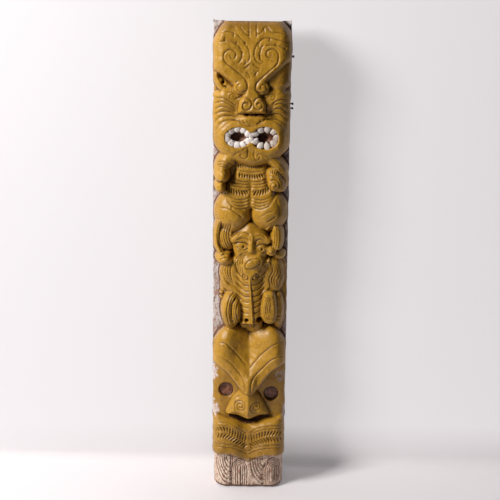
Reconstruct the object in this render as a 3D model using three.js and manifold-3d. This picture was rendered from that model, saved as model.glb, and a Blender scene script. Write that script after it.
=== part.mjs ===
// A tall carved wooden wall post in high relief: a large mask above its own arms,
// body and thighs, a smaller figure with raised hands, a wide lower face and a
// carved base block, all cut from one log. Small shells ring the mask's mouth.
// Millimetres, +Z up, +X to the viewer's right, the carved front towards -Y.
// The origin is the middle of the footprint, on the flat underside.
import * as THREE from 'three';
import { mergeVertices } from 'three/addons/utils/BufferGeometryUtils.js';
import Module from 'manifold-3d';

const wasm = await Module();
wasm.setup();

// Driving dimensions of the post
const POST_HEIGHT = 1250;
const POST_WIDTH = 195;
const POST_DEPTH = 130; // from the flat back to the furthest carved point
const GROUND_THICKNESS = 62; // from the flat back to the sunk ground between the figures
const BASE_WIDTH = 188; // the block at the foot is a little narrower
const BASE_HEIGHT = 96;
const EDGE_ROUND_ACROSS = 30; // how far in from the sides the carving starts to fall away
const EDGE_ROUND_DEEP = 42; // how far it has fallen at the sides
const GRID_PITCH_ACROSS = 7.4; // size of the facets across the post
const GRID_PITCH_ALONG = 8.9; // and along it

// The carving is drawn in shares of the post: so many across, along and deep
const SHARES_ACROSS = 195;
const SHARES_ALONG = 1250;
const SHARES_DEEP = 68;
const across = (share) => (share / SHARES_ACROSS) * POST_WIDTH;
const along = (share) => (share / SHARES_ALONG) * POST_HEIGHT;

// The round sockets of the lower face's eyes
const EYE_SOCKET_RADIUS = 20;
const EYE_SOCKET_DEPTH = 9; // below the face round it
const EYES = [
  { x: across(-61), z: along(279) },
  { x: across(60), z: along(270) },
];

// The figure-eight mouth of the mask and the shells that ring it
const MOUTH_RECESS_DEPTH = 29; // from the furthest carved point to the floor of the mouth
const MOUTH_Z = along(968);
const MOUTH_LOBES = {
  left: { x: across(-35), z: MOUTH_Z, halfWidth: 33, halfHeight: 25, shells: 10, facing: 0 },
  right: { x: across(35), z: MOUTH_Z - 1, halfWidth: 34, halfHeight: 28, shells: 9, facing: Math.PI },
};
const MOUTH_WAIST = { x: 0, z: MOUTH_Z, width: 20, height: 22 };
const PIT_DEPTH = 17; // of the dark hollow inside each ring of shells
const PITS = [
  { x: across(-37), z: MOUTH_Z, halfWidth: 18, halfHeight: 11 },
  { x: across(27), z: MOUTH_Z - 2, halfWidth: 18, halfHeight: 11 },
];
const SHELL_RING_OPEN = 0.14; // share of each ring left open towards the waist
const SHELL_HALF_WIDTH = 5.3;
const SHELL_HALF_LENGTH = 7.2;
const SHELL_HALF_THICKNESS = 7;
const SHELL_CLEARANCE = 0.3; // between a shell and the wood
const WAIST_SHELL_HALF_WIDTH = 4.6;
const WAIST_SHELL_HALF_LENGTH = 4.3;

// Old nails in the right edge
const NAIL_HEAD_RADIUS = 3.2;
const NAIL_HEAD_THICKNESS = 1.6;
const NAIL_SHANK_RADIUS = 1.4;
const NAIL_LENGTH = 18;
const NAIL_STANDS_OUT = 4; // from the wood to the top of the head
const NAIL_CLEARANCE = 0.3; // between the shank and its hole
const NAILS = [
  { name: 'edge_nail_top', z: along(1164), y: 5 },
  { name: 'edge_nail_upper', z: along(1048), y: -6 },
  { name: 'edge_nail_lower', z: along(1034), y: 12 },
];

// Rise from a form's rim to its crown along a quarter circle, 0 at the rim and 1 inside
function swell(inside) {
  const share = THREE.MathUtils.clamp(inside, 0, 1);
  return Math.sqrt(1 - (1 - share) ** 2);
}

// A rounded mound on an oval foot. `rim` is the share of it that is rounded off.
function mound({ x, z, halfWidth, halfHeight, crown, foot = 0, turn = 0, rim = 1 }) {
  const cos = Math.cos(turn);
  const sin = Math.sin(turn);
  return (px, pz) => {
    const across = ((px - x) * cos + (pz - z) * sin) / halfWidth;
    const along = ((pz - z) * cos - (px - x) * sin) / halfHeight;
    const inside = 1 - Math.hypot(across, along);
    return inside > 0 ? foot + (crown - foot) * swell(inside / rim) : 0;
  };
}

function distanceToSegment(px, pz, a, b) {
  const dx = b.x - a.x;
  const dz = b.y - a.y;
  const share = THREE.MathUtils.clamp(((px - a.x) * dx + (pz - a.y) * dz) / (dx * dx + dz * dz), 0, 1);
  return Math.hypot(px - a.x - share * dx, pz - a.y - share * dz);
}

function distanceToPath(px, pz, points, closed) {
  let nearest = Infinity;
  for (let i = closed ? 0 : 1; i < points.length; i += 1) {
    const previous = points[(i + points.length - 1) % points.length];
    nearest = Math.min(nearest, distanceToSegment(px, pz, previous, points[i]));
  }
  return nearest;
}

// A round ridge, such as an arm, along a smooth path of [x, z] points
function limb({ path, radius, endRadius = radius, crown, endCrown = crown, foot = 0 }) {
  const curve = new THREE.SplineCurve(path.map(([x, z]) => new THREE.Vector2(x, z)));
  const points = curve.getPoints(4 * path.length);
  return (px, pz) => {
    let height = 0;
    for (let i = 1; i < points.length; i += 1) {
      const share = i / (points.length - 1);
      const width = THREE.MathUtils.lerp(radius, endRadius, share);
      const top = THREE.MathUtils.lerp(crown, endCrown, share);
      const inside = 1 - distanceToSegment(px, pz, points[i - 1], points[i]) / width;
      height = Math.max(height, inside > 0 ? foot + (top - foot) * swell(inside) : 0);
    }
    return height;
  };
}

// A V-shaped furrow along a straight line, or a keel where its depth is negative
function furrow({ from, to, halfWidth, depth }) {
  const a = new THREE.Vector2(...from);
  const b = new THREE.Vector2(...to);
  return (px, pz) => depth * Math.max(0, 1 - distanceToSegment(px, pz, a, b) / halfWidth);
}

function isInside(px, pz, points) {
  let inside = false;
  for (let i = 0, j = points.length - 1; i < points.length; j = i, i += 1) {
    const a = points[i];
    const b = points[j];
    const crosses = a.y > pz !== b.y > pz && px < ((b.x - a.x) * (pz - a.y)) / (b.y - a.y) + a.x;
    inside = crosses ? !inside : inside;
  }
  return inside;
}

// A raised plate with an outline of [x, z] points, rounded off over `rim` at its edge.
// `crownBelow` is the crown at the plate's lower end where it differs from its top.
function plate({ outline, crown, crownBelow = crown, foot = 0, rim }) {
  const points = outline.map(([x, z]) => new THREE.Vector2(x, z));
  const heights = outline.map(([, z]) => z);
  const top = Math.max(...heights);
  const bottom = Math.min(...heights);
  return (px, pz) => {
    if (!isInside(px, pz, points)) {
      return 0;
    }
    const here = THREE.MathUtils.mapLinear(pz, bottom, top, crownBelow, crown);
    return foot + (here - foot) * swell(distanceToPath(px, pz, points, true) / rim);
  };
}

// A hollow with an outline of [x, z] points, cut down to a floor
function hollow({ outline, floor }) {
  const points = outline.map(([x, z]) => new THREE.Vector2(x, z));
  return (px, pz, height) => (isInside(px, pz, points) ? Math.min(height, floor) : height);
}

// The same form on the other side of the middle
const mirrored = (outline) => outline.map(([x, z]) => [-x, z]).reverse();

// The large mask: forehead and brows in one heart-shaped plate, slanting eyes,
// nose, cheeks and the wide ring of the lips
const mask = [
  plate({ outline: [[-120, 1000], [120, 1000], [120, 1160], [-120, 1160]], crown: 22, rim: 8 }),
  plate({ outline: [[-99, 1134], [-101, 1190], [-97, 1214], [-86, 1236], [-66, 1259], [66, 1259],
    [90, 1238], [104, 1206], [110, 1180], [104, 1157], [90, 1149], [57, 1119], [43, 1105], [30, 1080],
    [0, 1076], [-30, 1079], [-40, 1088], [-74, 1117], [-90, 1127]],
    crown: 48, crownBelow: 59, foot: 22, rim: 17 }),
  mound({ x: -25, z: 1094, halfWidth: 18, halfHeight: 18, crown: 62, foot: 42 }),
  mound({ x: 25, z: 1094, halfWidth: 17, halfHeight: 18, crown: 62, foot: 42 }),
  limb({ path: [[-93, 1122], [-84, 1102], [-72, 1088], [-43, 1082]], radius: 11, crown: 42, foot: 18 }),
  limb({ path: [[93, 1122], [84, 1102], [72, 1088], [43, 1082]], radius: 11, crown: 42, foot: 18 }),
  plate({ outline: [[-110, 1000], [-110, 1058], [-90, 1080], [-20, 1092], [20, 1092], [90, 1082],
    [110, 1062], [110, 1000]], crown: 42, crownBelow: 39, foot: 18, rim: 13 }),
  mound({ x: -50, z: 1062, halfWidth: 34, halfHeight: 30, crown: 47, foot: 36 }),
  mound({ x: 54, z: 1062, halfWidth: 34, halfHeight: 30, crown: 46, foot: 36 }),
  plate({ outline: [[-12, 1140], [12, 1140], [17, 1104], [24, 1076], [41, 1036], [40, 1024], [-36, 1024],
    [-38, 1038], [-20, 1078], [-15, 1104]], crown: 58, crownBelow: 67.5, foot: 35, rim: 15 }),
  mound({ x: -16, z: 1046, halfWidth: 18, halfHeight: 17, crown: 68, foot: 55 }),
  mound({ x: 19, z: 1046, halfWidth: 18, halfHeight: 17, crown: 67, foot: 55 }),
  plate({ outline: [[-97, 1000], [-78, 1012], [0, 1014], [80, 1012], [99, 1000], [102, 966], [92, 932],
    [58, 906], [22, 892], [0, 889], [-26, 896], [-64, 914], [-90, 936], [-100, 966]],
    crown: 44, crownBelow: 55, foot: 22, rim: 28 }),
  mound({ x: -35, z: 968, halfWidth: 51, halfHeight: 42, crown: 57, foot: 46, rim: 0.9 }),
  mound({ x: 35, z: 967, halfWidth: 52, halfHeight: 45, crown: 57, foot: 46, rim: 0.9 }),
];
const maskCuts = [
  hollow({ outline: [[-30, 1022], [30, 1022], [30, 1008], [20, 1000], [-20, 1000], [-30, 1008]],
    floor: 42 }),
];

// The mask's own arms, ribbed body and two heavy thighs
const armsAndBody = [
  plate({ outline: [[-62, 925], [62, 925], [70, 826], [-74, 826]], crown: 14, foot: 4, rim: 8 }),
  plate({ outline: [[-40, 920], [-37, 872], [-62, 832], [-66, 806], [-40, 780], [40, 780], [64, 806],
    [60, 834], [44, 856], [38, 920]], crown: 30, crownBelow: 44, foot: 8, rim: 16 }),
  mound({ x: -46, z: 768, halfWidth: 50, halfHeight: 60, crown: 51, foot: 4 }),
  mound({ x: 38, z: 771, halfWidth: 43, halfHeight: 58, crown: 51, foot: 4 }),
  mound({ x: 72, z: 782, halfWidth: 20, halfHeight: 46, crown: 28, foot: 2 }),
  limb({ path: [[-50, 918], [-68, 898], [-76, 876]], radius: 26, endRadius: 23, crown: 46, endCrown: 54,
    foot: 4 }),
  mound({ x: -74, z: 868, halfWidth: 22, halfHeight: 21, crown: 63, foot: 22 }),
  mound({ x: -79, z: 840, halfWidth: 16, halfHeight: 19, crown: 59, foot: 22, rim: 0.8 }),
  limb({ path: [[36, 920], [60, 903], [78, 882], [88, 852]], radius: 21, endRadius: 17, crown: 46,
    foot: 4 }),
  plate({ outline: [[42, 886], [62, 890], [80, 876], [92, 850], [92, 832], [80, 824], [56, 828],
    [42, 846], [38, 866]], crown: 55, foot: 22, rim: 17 }),
  mound({ x: 60, z: 847, halfWidth: 17, halfHeight: 17, crown: 62, foot: 42 }),
];
const bodyCuts = [
  furrow({ from: [0, 905], to: [0, 744], halfWidth: 10, depth: 5 }),
];

// The small figure: a pointed head between two raised hands, a cape of shoulders
// and ribs that meet at the spine, and bent legs on either side of it
const smallFigure = [
  plate({ outline: [[-78, 660], [88, 660], [86, 450], [-72, 450]], crown: 12, rim: 12 }),
  plate({ outline: [[-50, 659], [-80, 643], [-88, 611], [-86, 585], [-76, 561], [-44, 515], [0, 495],
    [44, 515], [84, 559], [93, 585], [92, 611], [84, 641], [52, 657]],
    crown: 42, crownBelow: 34, foot: 4, rim: 20 }),
  limb({ path: [[0, 600], [4, 545], [8, 462]], radius: 32, endRadius: 26, crown: 44, foot: 18 }),
  limb({ path: [[-82, 746], [-90, 712], [-88, 682], [-74, 664]], radius: 11, crown: 45 }),
  mound({ x: -60, z: 704, halfWidth: 22, halfHeight: 42, crown: 36, foot: 2, rim: 0.7 }),
  mound({ x: -66, z: 648, halfWidth: 27, halfHeight: 22, crown: 49, foot: 6 }),
  plate({ outline: [[54, 738], [70, 742], [86, 728], [88, 690], [80, 672], [60, 670], [50, 690]],
    crown: 46, rim: 12 }),
  mound({ x: 54, z: 671, halfWidth: 14, halfHeight: 15, crown: 52, foot: 28 }),
  mound({ x: 74, z: 658, halfWidth: 20, halfHeight: 16, crown: 38, foot: 4 }),
  plate({ outline: [[-3, 746], [-42, 716], [-46, 694], [-44, 670], [-36, 630], [-29, 606], [-16, 589],
    [0, 582], [18, 589], [30, 606], [38, 630], [50, 670], [51, 694], [44, 716]],
    crown: 43, crownBelow: 52, foot: 22, rim: 24 }),
  limb({ path: [[-42, 700], [-24, 712], [-4, 708]], radius: 11, crown: 53, foot: 42 }),
  limb({ path: [[10, 708], [26, 711], [46, 699]], radius: 11, crown: 53, foot: 42 }),
  limb({ path: [[3, 712], [3, 694], [3, 676]], radius: 9, endRadius: 11, crown: 54, endCrown: 59, foot: 42 }),
  mound({ x: 7, z: 640, halfWidth: 31, halfHeight: 21, turn: 0.26, crown: 59, foot: 42 }),
  mound({ x: -51, z: 506, halfWidth: 30, halfHeight: 57, crown: 47, foot: 6, rim: 0.6 }),
  plate({ outline: [[38, 561], [60, 563], [70, 545], [74, 501], [66, 475], [46, 471], [30, 487],
    [27, 519], [32, 547]], crown: 52, foot: 18, rim: 12 }),
  mound({ x: 74, z: 508, halfWidth: 18, halfHeight: 56, crown: 34, foot: 2, rim: 0.6 }),
  mound({ x: -11, z: 464, halfWidth: 16, halfHeight: 15, crown: 46, foot: 22 }),
  mound({ x: 22, z: 460, halfWidth: 14, halfHeight: 13, crown: 36, foot: 18 }),
];

// The wide lower face: two great brow lobes, a broad keeled nose and a band of a mouth
const browLobe = [[4, 400], [-4, 426], [-18, 449], [-42, 460], [-64, 456], [-82, 442], [-93, 424],
  [-104, 402], [-118, 380], [-118, 352], [-94, 354], [-62, 333], [-40, 305], [-24, 284], [-8, 274],
  [10, 284], [12, 326]];
const lowerFace = [
  plate({ outline: [[-130, 90], [130, 90], [130, 400], [-130, 400]], crown: 25, rim: 8 }),
  plate({ outline: browLobe, crown: 42, crownBelow: 65, foot: 18, rim: 32 }),
  plate({ outline: mirrored(browLobe), crown: 42, crownBelow: 65, foot: 18, rim: 32 }),
  plate({ outline: [[-10, 346], [10, 346], [16, 288], [32, 266], [45, 242], [56, 213], [0, 196],
    [-63, 212], [-55, 240], [-43, 264], [-26, 286]], crown: 48, crownBelow: 57, foot: 22, rim: 26 }),
  plate({ outline: [[-130, 95], [-98, 99], [-70, 105], [-50, 104], [-30, 97], [-12, 86], [0, 81],
    [13, 87], [30, 97], [50, 104], [98, 99], [130, 95], [130, 208], [98, 203], [50, 196], [22, 178],
    [2, 160], [-24, 178], [-50, 196], [-98, 207], [-130, 208]],
    crown: 50, crownBelow: 58, foot: 18, rim: 15 }),
];
const lowerFaceCuts = [
  furrow({ from: [0, 330], to: [-2, 206], halfWidth: 23, depth: -10 }),
  furrow({ from: [0, 196], to: [0, 60], halfWidth: 40, depth: 12 }),
];
const mouthCuts = [
  hollow({ outline: [[-56, 212], [0, 198], [52, 212], [26, 190], [0, 166], [-34, 190]], floor: 24 }),
];

// The block at the foot stands a little back from the mouth's band above it
const BASE_BLOCK_RELIEF = 44;
const baseEdge = [[-98, 96], [-70, 101], [-50, 100], [-30, 93], [-12, 82], [0, 78], [13, 83], [30, 93],
  [50, 100], [98, 95]];
const baseBlock = plate({ outline: [...baseEdge, [130, 95], [130, -60], [-130, -60], [-130, 96]],
  crown: BASE_BLOCK_RELIEF, foot: BASE_BLOCK_RELIEF, rim: 1 });

const forms = [...mask, ...armsAndBody, ...smallFigure, ...lowerFace];
const furrows = [...bodyCuts, ...lowerFaceCuts];
const hollows = [...maskCuts, ...mouthCuts];

// Relief of the carved front above the sunk ground, at a point of the drawing
function reliefAt(x, z) {
  const block = baseBlock(x, z);
  if (block > 0) {
    return block;
  }
  let relief = Math.max(...forms.map((form) => form(x, z)));
  for (const cut of furrows) {
    relief -= cut(x, z);
  }
  for (const cut of hollows) {
    relief = cut(x, z, relief);
  }
  return Math.min(relief, SHARES_DEEP);
}

// Height of the carved front above the back of the post, at a point of the real post.
// Towards the sides the carving falls away, the more the further it stands out.
function heightAt(x, z) {
  const share = reliefAt((x / POST_WIDTH) * SHARES_ACROSS, (z / POST_HEIGHT) * SHARES_ALONG) / SHARES_DEEP;
  const pastShoulder = Math.max(0, Math.abs(x) - (POST_WIDTH / 2 - EDGE_ROUND_ACROSS));
  const fallen = EDGE_ROUND_DEEP * (1 - Math.sqrt(1 - (pastShoulder / EDGE_ROUND_ACROSS) ** 2));
  return GROUND_THICKNESS + share * (POST_DEPTH - GROUND_THICKNESS) - Math.max(0, share) * fallen;
}

// The mean height round a point, so that slanting edges run smoothly over the facets
function carvedHeight(x, z) {
  const steps = [-0.6, -0.3, 0, 0.3, 0.6];
  const halfWidth = POST_WIDTH / 2;
  let sum = 0;
  for (const across of steps) {
    for (const along of steps) {
      const nearX = THREE.MathUtils.clamp(x + across * GRID_PITCH_ACROSS, -halfWidth, halfWidth);
      sum += heightAt(nearX, z + along * GRID_PITCH_ALONG);
    }
  }
  return sum / steps.length ** 2;
}

// Joining and cutting of closed meshes
function toSolid(geometry) {
  const bare = geometry.index ? geometry.toNonIndexed() : geometry.clone();
  bare.deleteAttribute('normal');
  bare.deleteAttribute('uv');
  const merged = mergeVertices(bare, 1e-4);
  return new wasm.Manifold(new wasm.Mesh({
    numProp: 3,
    vertProperties: new Float32Array(merged.attributes.position.array),
    triVerts: new Uint32Array(merged.index.array),
  }));
}

function toGeometry(solid) {
  const mesh = solid.getMesh();
  const geometry = new THREE.BufferGeometry();
  geometry.setAttribute('position', new THREE.BufferAttribute(mesh.vertProperties, 3));
  geometry.setIndex(new THREE.BufferAttribute(mesh.triVerts, 1));
  const faceted = geometry.toNonIndexed();
  faceted.computeVertexNormals();
  return faceted;
}

const BACK = POST_DEPTH / 2;
const yAtHeight = (height) => BACK - height;

// An oval plug along Y from one height of the carving to well in front of it
function ovalPlug({ x, z, halfWidth, halfHeight, floor }) {
  const length = POST_DEPTH;
  const plug = new THREE.CylinderGeometry(1, 1, length, 28);
  plug.scale(halfWidth, 1, halfHeight);
  plug.translate(x, yAtHeight(floor) - length / 2, z);
  return toSolid(plug);
}

// The post: a block whose front is moved out to the carved heights. The back is
// made deeper first and sawn off flat, so that it is one clean face.
function carvedPost() {
  const columns = Math.round(POST_WIDTH / GRID_PITCH_ACROSS);
  const rows = Math.round(POST_HEIGHT / GRID_PITCH_ALONG);
  const block = new THREE.BoxGeometry(POST_WIDTH, 4 * POST_DEPTH, POST_HEIGHT, columns, 1, rows);
  block.translate(0, 0, POST_HEIGHT / 2);
  const position = block.attributes.position;
  for (let i = 0; i < position.count; i += 1) {
    const x = position.getX(i);
    const z = position.getZ(i);
    if (position.getY(i) < 0) {
      position.setY(i, yAtHeight(carvedHeight(x, z)));
    }
    if (z < BASE_HEIGHT) {
      position.setX(i, (x / POST_WIDTH) * BASE_WIDTH);
    }
  }
  const slab = new THREE.BoxGeometry(2 * POST_WIDTH, 2 * POST_DEPTH, 2 * POST_HEIGHT);
  slab.translate(0, BACK - POST_DEPTH, POST_HEIGHT / 2);
  let post = toSolid(block).intersect(toSolid(slab));

  for (const eye of EYES) {
    post = post.subtract(ovalPlug({
      ...eye,
      halfWidth: EYE_SOCKET_RADIUS,
      halfHeight: EYE_SOCKET_RADIUS,
      floor: carvedHeight(eye.x, eye.z) - EYE_SOCKET_DEPTH,
    }));
  }
  for (const lobe of Object.values(MOUTH_LOBES)) {
    post = post.subtract(ovalPlug({ ...lobe, floor: POST_DEPTH - MOUTH_RECESS_DEPTH }));
  }
  for (const pit of PITS) {
    post = post.subtract(ovalPlug({ ...pit, floor: POST_DEPTH - MOUTH_RECESS_DEPTH - PIT_DEPTH }));
  }
  const waist = new THREE.BoxGeometry(MOUTH_WAIST.width, POST_DEPTH, MOUTH_WAIST.height);
  waist.translate(MOUTH_WAIST.x, yAtHeight(POST_DEPTH - MOUTH_RECESS_DEPTH) - POST_DEPTH / 2, MOUTH_WAIST.z);
  post = post.subtract(toSolid(waist));

  for (const nail of NAILS) {
    const hole = new THREE.CylinderGeometry(
      NAIL_SHANK_RADIUS + NAIL_CLEARANCE, NAIL_SHANK_RADIUS + NAIL_CLEARANCE, 2 * NAIL_LENGTH, 8);
    hole.rotateZ(Math.PI / 2);
    hole.translate(POST_WIDTH / 2, nail.y, nail.z);
    post = post.subtract(toSolid(hole));
  }
  return toGeometry(post);
}

// One shell: a rounded lump, longest towards the middle of its half of the mouth
function shellGeometry(halfWidth, halfLength) {
  const shell = new THREE.SphereGeometry(1, 8, 4);
  shell.scale(halfLength, SHELL_HALF_THICKNESS, halfWidth);
  return mergeVertices(shell);
}

const paintedWood = new THREE.MeshStandardMaterial({ color: 0xb0863e, roughness: 0.45, metalness: 0 });
const shellWhite = new THREE.MeshStandardMaterial({ color: 0xe4ddd8, roughness: 0.35, metalness: 0 });
const rustedIron = new THREE.MeshStandardMaterial({ color: 0x3a2c26, roughness: 0.7, metalness: 0.6 });

const group = new THREE.Group();

const post = new THREE.Mesh(carvedPost(), paintedWood);
post.name = 'carved_post';
group.add(post);

// The shells stand on the floor of the mouth, their middles on an oval inside its rim
const shellY = yAtHeight(POST_DEPTH - MOUTH_RECESS_DEPTH + SHELL_CLEARANCE + SHELL_HALF_THICKNESS);
for (const [side, lobe] of Object.entries(MOUTH_LOBES)) {
  const reach = SHELL_HALF_LENGTH + SHELL_CLEARANCE;
  const oval = new THREE.EllipseCurve(lobe.x, lobe.z, lobe.halfWidth - reach, lobe.halfHeight - reach,
    lobe.facing, lobe.facing + 2 * Math.PI);
  for (let i = 0; i < lobe.shells; i += 1) {
    const share = SHELL_RING_OPEN / 2 + (i * (1 - SHELL_RING_OPEN)) / (lobe.shells - 1);
    const place = oval.getPointAt(share);
    const tangent = oval.getTangentAt(share);
    const shell = new THREE.Mesh(shellGeometry(SHELL_HALF_WIDTH, SHELL_HALF_LENGTH), shellWhite);
    shell.name = `mouth_shell_${side}_${i + 1}`;
    shell.position.set(place.x, shellY, place.y);
    shell.rotation.y = Math.atan2(tangent.x, tangent.y);
    group.add(shell);
  }
}
for (const [i, step] of [1, -1].entries()) {
  const shell = new THREE.Mesh(shellGeometry(WAIST_SHELL_HALF_WIDTH, WAIST_SHELL_HALF_LENGTH), shellWhite);
  shell.name = `mouth_shell_middle_${i + 1}`;
  const lift = WAIST_SHELL_HALF_WIDTH + SHELL_CLEARANCE;
  shell.position.set(MOUTH_WAIST.x, shellY, MOUTH_WAIST.z + step * lift);
  group.add(shell);
}

// Nails driven into the right edge, their heads standing a little out of the wood
for (const nail of NAILS) {
  const profile = [
    [0, 0],
    [NAIL_HEAD_RADIUS, 0],
    [NAIL_HEAD_RADIUS, -NAIL_HEAD_THICKNESS],
    [NAIL_SHANK_RADIUS, -NAIL_HEAD_THICKNESS],
    [NAIL_SHANK_RADIUS, -NAIL_LENGTH],
    [0, -NAIL_LENGTH],
  ].map(([radius, along]) => new THREE.Vector2(radius, along)).reverse();
  const mesh = new THREE.Mesh(mergeVertices(new THREE.LatheGeometry(profile, 10)), rustedIron);
  mesh.name = nail.name;
  mesh.position.set(POST_WIDTH / 2 + NAIL_STANDS_OUT, nail.y, nail.z);
  mesh.rotation.z = -Math.PI / 2;
  group.add(mesh);
}

export default group;
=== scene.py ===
import math

import bmesh
import bpy
import numpy as np
from mathutils import Matrix, Vector


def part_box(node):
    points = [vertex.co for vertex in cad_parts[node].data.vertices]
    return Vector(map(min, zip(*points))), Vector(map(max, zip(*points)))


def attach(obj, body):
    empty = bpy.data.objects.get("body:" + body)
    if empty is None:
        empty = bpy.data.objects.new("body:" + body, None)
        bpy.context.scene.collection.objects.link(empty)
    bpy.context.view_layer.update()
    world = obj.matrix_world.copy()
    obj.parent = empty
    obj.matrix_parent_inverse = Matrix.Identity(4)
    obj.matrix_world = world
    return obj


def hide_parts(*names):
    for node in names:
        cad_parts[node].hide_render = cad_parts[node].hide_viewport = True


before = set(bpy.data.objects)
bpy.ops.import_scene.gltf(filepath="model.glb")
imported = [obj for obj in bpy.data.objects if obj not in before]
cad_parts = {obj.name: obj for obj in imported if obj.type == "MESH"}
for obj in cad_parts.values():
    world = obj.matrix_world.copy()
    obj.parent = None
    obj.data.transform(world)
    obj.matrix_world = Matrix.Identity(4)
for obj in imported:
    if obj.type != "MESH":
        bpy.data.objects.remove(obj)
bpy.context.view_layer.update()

# The carved post: one heavy board of hardwood, its front cut into figures in high
# relief with chisels and gouges, the figures painted ochre, the ground and foot bare.
# It is worked on a sheet in mm: x across, z up, and heights from the flat back.
MM = 0.001
post_low, post_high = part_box("carved_post")
half_width = (post_high.x - post_low.x) / 2 / MM
post_height = post_high.z / MM
back_y = post_high.y
ground = 62.0  # the sunk ground between the figures, from the back
gouge_step = 0.95
across = np.linspace(-half_width, half_width, int(2 * half_width / gouge_step))
along = np.linspace(0.0, post_height, int(post_height / gouge_step))
wood = np.full((len(along), len(across)), ground)
chance = np.random.default_rng(11)


def held(value):
    """The value held between 0 and 1."""
    return np.clip(value, 0, 1)


def smooth_path(points, closed=False, steps=7):
    """A flowing line through the points, as a carver draws it."""
    p = np.array(points, float)
    if closed:
        p = np.vstack([p[-1:], p, p[:2]])
    else:
        p = np.vstack([2 * p[:1] - p[1:2], p, 2 * p[-1:] - p[-2:-1]])
    t = np.linspace(0, 1, steps, endpoint=False)[:, None]
    runs = []
    for a, b, c, d in zip(p[:-3], p[1:-2], p[2:-1], p[3:]):
        runs.append(0.5 * (2 * b + (c - a) * t + (2 * a - 5 * b + 4 * c - d) * t**2
                           + (3 * b - a - 3 * c + d) * t**3))
    return np.vstack(runs + [p[-2:-1]])


def window_round(low, high):
    """The part of the sheet between two corners, and its points."""
    cols = slice(*np.searchsorted(across, (low[0], high[0])))
    rows = slice(*np.searchsorted(along, (low[1], high[1])))
    return (rows, cols), *np.meshgrid(across[cols], along[rows])


def beside(path, reach):
    """Each point near a line: its distance, its distance with a side, and how far along."""
    here, x, z = window_round(path.min(0) - reach, path.max(0) + reach)
    nearest = np.full(x.shape, 1e9)
    side = np.zeros(x.shape)
    run = np.zeros(x.shape)
    start = 0.0
    for a, b in zip(path[:-1], path[1:]):
        step = b - a
        length = math.hypot(*step)
        if length < 1e-9:
            continue
        px = x - a[0]
        pz = z - a[1]
        share = held((px * step[0] + pz * step[1]) / length**2)
        distance = np.hypot(px - share * step[0], pz - share * step[1])
        closer = distance < nearest
        nearest = np.where(closer, distance, nearest)
        side = np.where(closer, np.sign(step[0] * pz - step[1] * px), side)
        run = np.where(closer, start + share * length, run)
        start += length
    return here, nearest, side * nearest, run, start


def inside_of(path, x, z):
    """True where a point lies inside a closed line."""
    inside = np.zeros(x.shape, bool)
    for a, b in zip(path, np.roll(path, 1, axis=0)):
        if a[1] != b[1]:
            crosses = (a[1] > z) != (b[1] > z)
            inside ^= crosses & (x < (b[0] - a[0]) * (z - a[1]) / (b[1] - a[1]) + a[0])
    return inside


def swell(share):
    """The rise of a rounded edge, 0 at its foot and 1 on top."""
    return np.sqrt(1 - (1 - held(share)) ** 2)


def build_up(here, height, fillet=2.0):
    """Leaves a form standing, with a small fillet where it meets what is there."""
    old = wood[here]
    gap = np.clip(fillet - np.abs(height - old), 0, None)
    wood[here] = np.maximum(old, height) + np.where(height > 0, gap**2 / (4 * fillet), 0)


def mound(x, z, wide, tall, crown, foot=ground, turn=0.0, rim=1.0, fillet=2.0):
    """A rounded swelling on an oval foot."""
    reach = max(wide, tall)
    here, px, pz = window_round((x - reach, z - reach), (x + reach, z + reach))
    cos, sin = math.cos(turn), math.sin(turn)
    u = ((px - x) * cos + (pz - z) * sin) / wide
    v = ((pz - z) * cos - (px - x) * sin) / tall
    share = 1 - np.hypot(u, v)
    build_up(here, np.where(share > 0, foot + (crown - foot) * swell(share / rim), 0), fillet)


def limb(points, radius, crown, foot=ground, end_radius=None, end_crown=None, fillet=2.0):
    """A rounded arm, lid or ridge along a line."""
    end_radius = radius if end_radius is None else end_radius
    end_crown = crown if end_crown is None else end_crown
    here, nearest, _, run, length = beside(smooth_path(points), max(radius, end_radius))
    share = run / length
    width = radius + (end_radius - radius) * share
    top = crown + (end_crown - crown) * share
    inside = 1 - nearest / width
    build_up(here, np.where(inside > 0, foot + (top - foot) * swell(inside), 0), fillet)


def drawn(points):
    """A drawn shape: its part of the sheet, where it lies, how far in and how far up it."""
    path = smooth_path(points, closed=True, steps=5)
    low, high = path.min(0), path.max(0)
    here, x, z = window_round(low, high)
    _, nearest, _, _, _ = beside(path, 0)
    return here, inside_of(path, x, z), nearest, held((z - low[1]) / (high[1] - low[1]))


def plate(points, crown, rim, foot=ground, crown_below=None, fillet=2.0, soft=False):
    """A form with a drawn outline, a rounded or soft rim, and a level or sloping crown."""
    here, inside, nearest, share = drawn(points)
    crown_below = crown if crown_below is None else crown_below
    top = crown_below + (crown - crown_below) * share
    rise = held(nearest / rim)
    rise = rise**2 * (3 - 2 * rise) if soft else swell(rise)
    build_up(here, np.where(inside, foot + (top - foot) * rise, 0), fillet)


def oval(x, z, wide, tall):
    """The part of the sheet round an oval, and how far out of its middle each point lies."""
    here, px, pz = window_round((x - wide, z - tall), (x + wide, z + tall))
    return here, np.hypot((px - x) / wide, (pz - z) / tall)


def cut_down(here, inside, share, floor):
    """Takes the wood down towards a floor, inside a shape alone."""
    cut = wood[here] * (1 - share) + floor * share
    wood[here] = np.where(inside, np.minimum(wood[here], cut), wood[here])


def sink(points, floor, wall=2.0):
    """Cuts a drawn shape down to a floor, with a steep wall round it."""
    here, inside, nearest, _ = drawn(points)
    cut_down(here, inside, held(nearest / wall), floor)


def drill(x, z, wide, tall, floor, wall=0.5):
    """Cuts an oval down to a floor, its wall a share of its width."""
    here, out = oval(x, z, wide, tall)
    cut_down(here, out < 1, held((1 - out) / wall), floor)


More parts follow.
